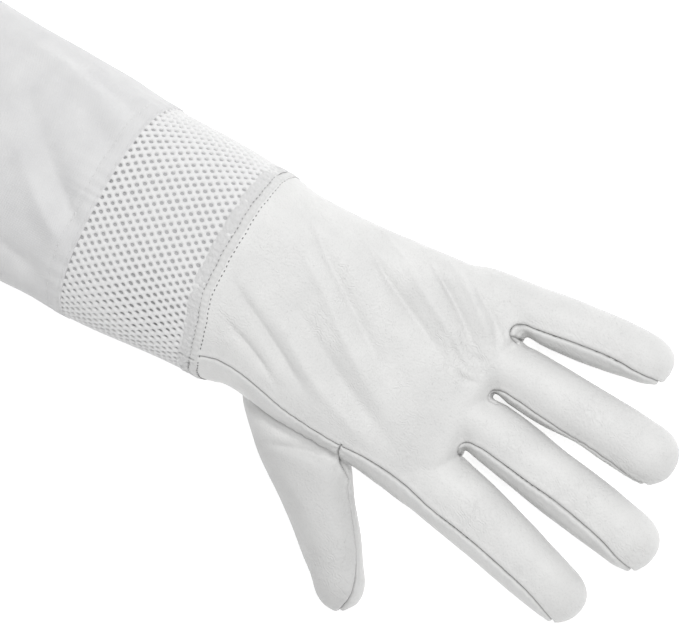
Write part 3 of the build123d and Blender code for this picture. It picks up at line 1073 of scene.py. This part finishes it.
def topstitching(canvas):
    """Two rows of stitches through the canvas's folded edge and one at its end, over the elbow's casing."""
    tree = surface_tree(canvas.data)
    rows = []
    share = np.arange(0, 1, 0.5 / ROUND)
    for number, x in enumerate((*TOPSTITCH_X, CANVAS_START + 1.2)):
        away, close = [tube(share, np.full(len(share), x), off) for off in (14, 0)]
        spots, ups = [], []
        for start, end in zip(away, close):
            direction = Vector(end - start).normalized()
            hit = tree.ray_cast(Vector(start), direction)[0]
            if hit is not None:
                spots.append(hit[:])
                ups.append((-direction)[:])
        eased = nearest_on(tree, ease(np.array(spots), 40))
        rows.append(stitches(f"topstitch_{number}", ease(eased, 4), ups, 3.1, 2.5, 0.19, 0.06))
    return rows


# ---------------- cutting the leather at the joints
# A finger's own skin starts this far before its root joint, where it has parted from its neighbours
CUT_BEFORE_ROOT = {"index": 9.5, "middle": 5.5, "ring": 7.5, "little": 9.5}
ROOT_BEND_AFTER = 14.5  # the root bend ends this far past its joint
MID_BEND_HALF = 13.5
WRIST_BEND = (8, 52)
THUMB_CUT_TURN = math.radians(-61.5)
THUMB_CUT = 88.5  # how far along that direction the thumb's own skin starts
THUMB_MID_HALF = 10.5
CUFF_EDGE = 5.6
MARGIN = 1.7  # from a cut to the start of a bend, more than a face of the mesh
NODES = sorted(frame["nodes"])


def joint_line(name):
    """A joint's place in the drawing, and the level direction that it bends across, towards the fingertip."""
    joint = next(j for j in frame["record"]["behaviour"]["joints"] if j["name"] == name)
    x, y, _ = joint["axis"]
    return np.array(joint["pos_m"]) / MM - SHIFT, np.array([y, -x, 0.0])


def part_from(edges, inside, seed):
    """Points inside that hang together with the seed point."""
    kept = edges[inside[edges[:, 0]] & inside[edges[:, 1]]]
    label = np.arange(len(inside))
    while True:
        low = np.minimum(label[kept[:, 0]], label[kept[:, 1]])
        after = label.copy()
        np.minimum.at(after, kept[:, 0], low)
        np.minimum.at(after, kept[:, 1], low)
        after = after[after]
        if np.array_equal(after, label):
            return inside & (label == label[seed])
        label = after


def stall_cuts(name, co, edges):
    """Which points are a finger's skin and which its tip's, and where its two bends start and end."""
    root, along = joint_line(name + "_root_flex")
    mid = joint_line(name + "_mid_flex")[0] @ along
    seed = np.argmax(co @ along - 4 * np.abs((co - root) @ np.array([-along[1], along[0], 0])))
    if name == "thumb":
        first = np.array([math.cos(THUMB_CUT_TURN), math.sin(THUMB_CUT_TURN), 0.0])
        start, half = THUMB_CUT, THUMB_MID_HALF
    else:
        first = along
        start, half = root @ along - CUT_BEFORE_ROOT[name], MID_BEND_HALF
    skin = part_from(edges, co @ first > start, seed)
    if name == "thumb":
        split = mid - half - MARGIN
        end = (co[skin & (co @ along > split) & (co @ along < split + MARGIN)] @ first).min()
    else:
        end = min(root @ along + ROOT_BEND_AFTER, mid - half - 2 * MARGIN)
        split = (end + mid - half - MARGIN) / 2
    return skin, skin & (co @ along > split), [
        (f"leather_{name}_base", "hand", f"{name}_base", first, start + MARGIN, end),
        (f"leather_{name}_tip", f"{name}_base", f"{name}_tip", along, split + MARGIN, mid + half),
    ]


def cut_leather(obj):
    """The leather as one piece for each moving length, sharing the shading of the whole along the cuts."""
    mesh = obj.data
    co, edges = coordinates(mesh), edge_array(mesh)
    add_attribute(mesh, "whole_normal", normals(mesh))
    owner = np.zeros(len(co), dtype=int)
    bends = [("leather_hand", "sleeve", "hand", np.array([1.0, 0, 0]), *WRIST_BEND)]
    for name in STALLS:
        skin, tip, stall_bends = stall_cuts(name, co, edges)
        owner[skin] = len(bends)
        owner[tip] = len(bends) + 1
        bends += stall_bends
    pieces = []
    for number, (name, *bend) in enumerate(bends):
        piece_mesh = mesh.copy()
        piece_mesh.name = name
        with edited(piece_mesh) as part:
            outside = [
                face for face in part.faces
                if min(owner[v.index] for v in face.verts) != number
                or (number == 0 and face.calc_center_median().x < CUFF_EDGE)
            ]
            bmesh.ops.delete(part, geom=outside, context="FACES")
        pieces.append((link(bpy.data.objects.new(name, piece_mesh)), bend))
    bpy.data.objects.remove(obj)
    return pieces


def keep_whole_shading(obj):
    """Sets the normals that the uncut leather had, so that no cut shows."""
    mesh = obj.data
    vectors = values(mesh.attributes["whole_normal"].data, "vector", 3, np.float32)
    mesh.attributes.remove(mesh.attributes["whole_normal"])
    shade_smooth(obj)
    mesh.normals_split_custom_set_from_vertices(vectors)


# ---------------- materials
THUMB_PAINTED_SHADE_X, THUMB_PAINTED_SHADE_Y = (112, 124), (-62, -50)  # where the shade painted on the thumb fades out


def grey(level, blue=None):
    """A grey, or one with its own level of blue."""
    return (level, level, level if blue is None else blue)


class Look:
    """A material in the making, whose textures lie by each point's place at rest."""

    def __init__(self, name, colour, roughness, sheen=0.0):
        self.material = bpy.data.materials.new(name)
        self.material.use_nodes = True
        self.tree = self.material.node_tree
        self.surface = self.tree.nodes["Principled BSDF"]
        self.feed(self.surface, {
            "Base Color": (*colour, 1), "Roughness": roughness, "Specular IOR Level": 0.35,
            "Sheen Weight": sheen, "Sheen Roughness": 0.6,
        })
        self.place = self.node("Attribute", attribute_name="place")["Vector"]

    def feed(self, node, inputs):
        """Sets a node's inputs: each to a number or a colour, or to another node's output."""
        for name, value in inputs.items():
            socket = node.inputs[name]
            if isinstance(value, bpy.types.NodeSocket):
                self.tree.links.new(value, socket)
            else:
                socket.default_value = value

    def node(self, kind, inputs=None, **settings):
        """A new node with its settings and inputs, as its outputs."""
        node = self.tree.nodes.new("ShaderNode" + kind)
        for name, value in settings.items():
            setattr(node, name, value)
        self.feed(node, inputs or {})
        return node.outputs

    def noise(self, scale, detail=3.0):
        inputs = {"Vector": self.place, "Scale": scale, "Detail": detail, "Roughness": 0.55}
        return self.node("TexNoise", inputs)["Fac"]

    def cells(self, scale, feature="F1"):
        return self.node("TexVoronoi", {"Vector": self.place, "Scale": scale}, feature=feature)["Distance"]

    def waves(self, scale, direction, distortion):
        inputs = {"Vector": self.place, "Scale": scale, "Distortion": distortion, "Detail": 1.0}
        return self.node("TexWave", inputs, bands_direction=direction)["Fac"]

    def axes(self):
        """The parts of the place along x, y and z."""
        return self.node("SeparateXYZ", {0: self.place})

    def maths(self, operation, first, second=0.0):
        return self.node("Math", {0: first, 1: second}, operation=operation)[0]

    def times(self, first, second):
        return self.maths("MULTIPLY", first, second)

    def plus(self, first, second):
        return self.maths("ADD", first, second)

    def mixed(self, share, low, high, blend="MIX"):
        """Colour between low and high, or low multiplied by high, by a share from 0 to 1."""
        low, high = [(*colour, 1) if isinstance(colour, tuple) else colour for colour in (low, high)]
        return self.node("Mix", {"Factor": share, 6: low, 7: high}, data_type="RGBA", blend_type=blend)[2]

    def ramp(self, value, low, high, start=0.0, end=1.0):
        """Colour from low to high as value goes from start to end."""
        share = self.node("MapRange", {"Value": value, "From Min": start, "From Max": end})["Result"]
        return self.mixed(share, low, high)

    def finish(self, colour, height, depth_mm, strength, roughness=None):
        """Joins colour, bump and roughness to the surface."""
        bump = self.node("Bump", {"Height": height, "Distance": depth_mm * MM, "Strength": strength})
        self.feed(self.surface, {"Normal": bump["Normal"], "Base Color": colour})
        if roughness is not None:
            self.feed(self.surface, {"Roughness": roughness})
        return self.material


def leather_material():
    """White grained leather: pebbles, pores, creases and uneven dye, with shade painted grey into the seams
    and onto the thumb.
    """
    look = Look("white_leather", (0.7, 0.7, 0.69), 0.52, 0.08)
    pebbles = look.cells(1.25, "SMOOTH_F1")
    pores = look.times(look.maths("LESS_THAN", look.cells(0.55), 0.10), -0.5)
    coarse = look.noise(0.35, 4.0)
    where = look.ramp(look.noise(0.045, 2.0), grey(0.12), grey(1), 0.42, 0.66)
    creases = look.times(look.waves(0.24, "DIAGONAL", 14.0), where)
    height = look.plus(look.plus(look.times(pebbles, 0.55), look.times(coarse, 0.5)), pores)
    height = look.plus(height, look.times(creases, 0.45))
    dye = look.ramp(look.noise(0.05), grey(0.645, 0.64), grey(0.70, 0.693), 0.3, 0.7)
    grain = look.ramp(pebbles, grey(0.90), grey(1), 0.05, 0.4)
    # Painted shade: the colour is darkened towards grey in the seams, where their grooves are shaded.
    seam = look.times(look.node("Attribute", attribute_name="seam")["Fac"], 0.75)
    colour = look.mixed(seam, look.mixed(0.6, dye, grain, "MULTIPLY"), grey(0.20))
    # Painted shade: the leather is made greyer on and beside the thumb, which lies low in the hand's shade.
    x, y, _ = look.axes()
    before = look.ramp(x, grey(1), grey(0), *THUMB_PAINTED_SHADE_X)
    beside = look.ramp(y, grey(1), grey(0), *THUMB_PAINTED_SHADE_Y)
    colour = look.mixed(look.times(look.times(before, beside), 0.32), colour, grey(0.35))
    return look.finish(colour, height, 0.26, 0.95, look.plus(0.44, look.times(coarse, 0.16)))


def weave_height(look, threads_per_mm):
    """Height of a plain weave: two sets of round threads that pass over each other in turn."""
    turn = math.pi * threads_per_mm
    u, v = [look.maths("SINE", look.times(part, turn)) for part in list(look.axes())[:2]]
    over = look.maths("MAXIMUM", look.maths("ABSOLUTE", u), look.maths("ABSOLUTE", v))
    return look.plus(look.times(look.times(u, v), 0.5), over)


def canvas_material():
    """White cotton canvas: plain weave, uneven threads and a few thicker ones."""
    look = Look("white_canvas", grey(0.66), 0.85, 0.25)
    weave = weave_height(look, 2.2)
    slubs = look.plus(look.noise(0.9, 2.0), look.times(look.waves(0.22, "Y", 6.0), 0.3))
    tone = look.ramp(look.noise(0.06, 4.0), grey(0.625, 0.63), grey(0.69, 0.692), 0.3, 0.7)
    gaps = look.ramp(weave, grey(0.50, 0.51), grey(1), -0.2, 0.7)
    return look.finish(look.mixed(0.35, tone, gaps, "MULTIPLY"), look.plus(weave, slubs), 0.16, 0.6)


def knit_material(name, colour, scale, depth):
    """Knitted or woven synthetic: rows of small loops."""
    look = Look(name, colour, 0.62, 0.2)
    loops = look.times(look.waves(scale, "X", 0.6), look.waves(scale * 1.35, "Y", 0.6))
    height = look.plus(loops, look.times(look.noise(2.0), 0.6))
    tone = look.ramp(height, tuple(0.86 * c for c in colour), colour, 0.2, 0.9)
    return look.finish(tone, height, depth, 0.7)


def thread_material(name, level):
    """Twisted sewing thread."""
    look = Look(name, grey(level), 0.55, 0.2)
    twist = look.waves(2.4, "DIAGONAL", 0.4)
    return look.finish(look.ramp(twist, grey(0.75 * level), grey(level)), twist, 0.06, 0.8)


def floor_material():
    material = bpy.data.materials.new("pale_floor")
    material.use_nodes = True
    surface = material.node_tree.nodes["Principled BSDF"].inputs
    surface["Base Color"].default_value = (0.93, 0.93, 0.93, 1)
    surface["Roughness"].default_value = 0.9
    surface["Emission Color"].default_value = (1, 1, 1, 1)
    surface["Emission Strength"].default_value = FLOOR_GLOW
    return material


# ---------------- putting the glove together
CUFF_SKEW, CUFF_DRAWN_IN = 5, 3


def skewed(co):
    """The cuff leans: on the thumb side its seam lies further towards the fingers."""
    co = co.copy()
    side = np.clip((-5 - co[:, 1]) / 35, 0, 1)
    near = np.clip(np.minimum((co[:, 0] + 50) / 48, (50 - co[:, 0]) / 38), 0, 1)
    share = smooth(side) * smooth(near)
    co[:, 0] += CUFF_SKEW * share
    co[:, 1] += CUFF_DRAWN_IN * share
    return co


def with_place(obj, from_map=False):
    """Keeps each point's place at rest, in millimetres, so that textures don't slide in a bend."""
    mesh = obj.data
    if from_map:
        uv = values(mesh.uv_layers["cloth"].data, "uv", 2, np.float32)
        add_attribute(mesh, "place", np.pad(uv, ((0, 0), (0, 1))), "CORNER")
    else:
        add_attribute(mesh, "place", coordinates(mesh))


def placed(obj, material, from_map=False):
    """Moves a finished piece from the drawing into the row's frame and gives it its material."""
    with_place(obj, from_map)
    set_coordinates(obj.data, to_frame(skewed(coordinates(obj.data))))
    obj.data.materials.append(material)
    return obj


def on_sleeve(obj, material, from_map=False):
    """A placed piece that rides on the sleeve."""
    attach(placed(obj, material, from_map), "sleeve")
    return obj


def leather_nodes(name):
    """The CAD nodes that a piece of the leather stands for."""
    if name == "hand":
        return [n for n in NODES if n.startswith(("wrist_", "hand_", "crotch_")) or n.endswith("_root_bend")]
    bend = name.removesuffix("_base") + "_mid_bend"
    return [n for n in NODES if n.startswith(name) or n == bend]


def leather_pieces():
    material = leather_material()
    whole, seams = finished_leather()
    for obj, (first, second, direction, start, end) in cut_leather(whole):
        placed(obj, material)
        keep_whole_shading(obj)
        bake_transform(obj)
        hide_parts(*leather_nodes(obj.name.removeprefix("leather_")))
    return seams


def mesh_pieces():
    face = on_sleeve(vent_mesh(), knit_material("white_spacer_mesh", grey(0.84), 1.1, 0.12))
    back_look = knit_material("spacer_mesh_inner_face", grey(0.52, 0.53), 0.8, 0.25)
    back = on_sleeve(vent_mesh_back(), back_look)
    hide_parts("vent_mesh")


def binding_pieces(seams):
    allowance, tape, mesh_row, leather_row = cuff_pieces(seams)
    on_sleeve(allowance, knit_material("bound_mesh_edge", grey(0.76), 0.7, 0.3))
    on_sleeve(tape, knit_material("white_binding_tape", grey(0.72, 0.715), 0.9, 0.14))
    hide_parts("cuff_binding")
    # Painted shadow: the cuff's stitches are drawn in grey and dark grey thread to stand for the shadows and
    # needle holes along them; the thread itself is pale.
    on_sleeve(mesh_row, thread_material("grey_thread", 0.36))
    on_sleeve(leather_row, thread_material("dark_grey_thread", 0.16))


def canvas_pieces():
    look = canvas_material()
    canvas = canvas_sleeve()
    stitching = topstitching(canvas)
    applied(canvas, "SOLIDIFY", thickness=CANVAS_THICK, offset=-1, use_even_offset=False)
    on_sleeve(canvas, look, from_map=True)
    hem = on_sleeve(elbow_casing(), look, from_map=True)
    thread = thread_material("white_thread", 0.78)
    for row in stitching:
        on_sleeve(row, thread)
    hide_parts("sleeve_canvas")
    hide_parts("elbow_hem")
    elastic = frame["nodes"]["elbow_elastic"]
    elastic.data.materials.clear()
    elastic.data.materials.append(knit_material("white_elastic", grey(0.55, 0.54), 0.7, 0.2))


# ---------------- camera and light
CAMERA_TILT = math.radians(79)
CAMERA_ROLL = math.radians(28.4)
CAMERA_AIM = (48.4, 8, 25)
CAMERA_DISTANCE = 900
VIEW_WIDTH = 305.6
SENSOR = 36
FLOOR_SIZE, FLOOR_DROP = 6, -0.0008  # in metres
KEY_PLACE = (200, 310, 1050)
KEY_SIZE, KEY_POWER = 0.35, 7.3
WORLD_LIGHT, FLOOR_GLOW = 0.53, 0.55


def add_camera():
    back = Vector((math.cos(CAMERA_TILT), 0, math.sin(CAMERA_TILT)))
    along = Vector((math.sin(CAMERA_TILT), 0, -math.cos(CAMERA_TILT)))
    across = Vector((0, 1, 0))
    right = along * math.cos(CAMERA_ROLL) + across * math.sin(CAMERA_ROLL)
    up = across * math.cos(CAMERA_ROLL) - along * math.sin(CAMERA_ROLL)
    data = bpy.data.cameras.new("camera")
    data.sensor_width = SENSOR
    data.lens = SENSOR * CAMERA_DISTANCE / VIEW_WIDTH
    data.clip_end = 50
    camera = link(bpy.data.objects.new("camera", data))
    turn = Matrix((right, up, back)).transposed().to_4x4()
    place = Vector(to_frame(CAMERA_AIM)) + back * CAMERA_DISTANCE * MM
    camera.matrix_world = Matrix.Translation(place) @ turn
    bpy.context.scene.camera = camera


def add_floor():
    half = FLOOR_SIZE / 2
    corners = [(x, y, FLOOR_DROP) for x, y in ((-half, -half), (half, -half), (half, half), (-half, half))]
    floor = new_object("floor", corners, [(0, 1, 2, 3)])
    floor.data.materials.append(floor_material())


def add_light():
    world = bpy.data.worlds.new("studio")
    world.use_nodes = True
    background = world.node_tree.nodes["Background"]
    background.inputs["Color"].default_value = (1, 1, 1, 1)
    background.inputs["Strength"].default_value = WORLD_LIGHT
    bpy.context.scene.world = world
    bpy.context.scene.view_settings.view_transform = "Standard"
    lamp = bpy.data.lights.new("key", "AREA")
    lamp.shape = "DISK"
    lamp.size = KEY_SIZE
    lamp.energy = KEY_POWER
    key = link(bpy.data.objects.new("key", lamp))
    place = Vector(to_frame(KEY_PLACE))
    key.location = place
    key.rotation_euler = (Vector(to_frame(CAMERA_AIM)) - place).to_track_quat("-Z", "Y").to_euler()


seam_lines = leather_pieces()
mesh_pieces()
binding_pieces(seam_lines)
canvas_pieces()
add_camera()
add_floor()
add_light()
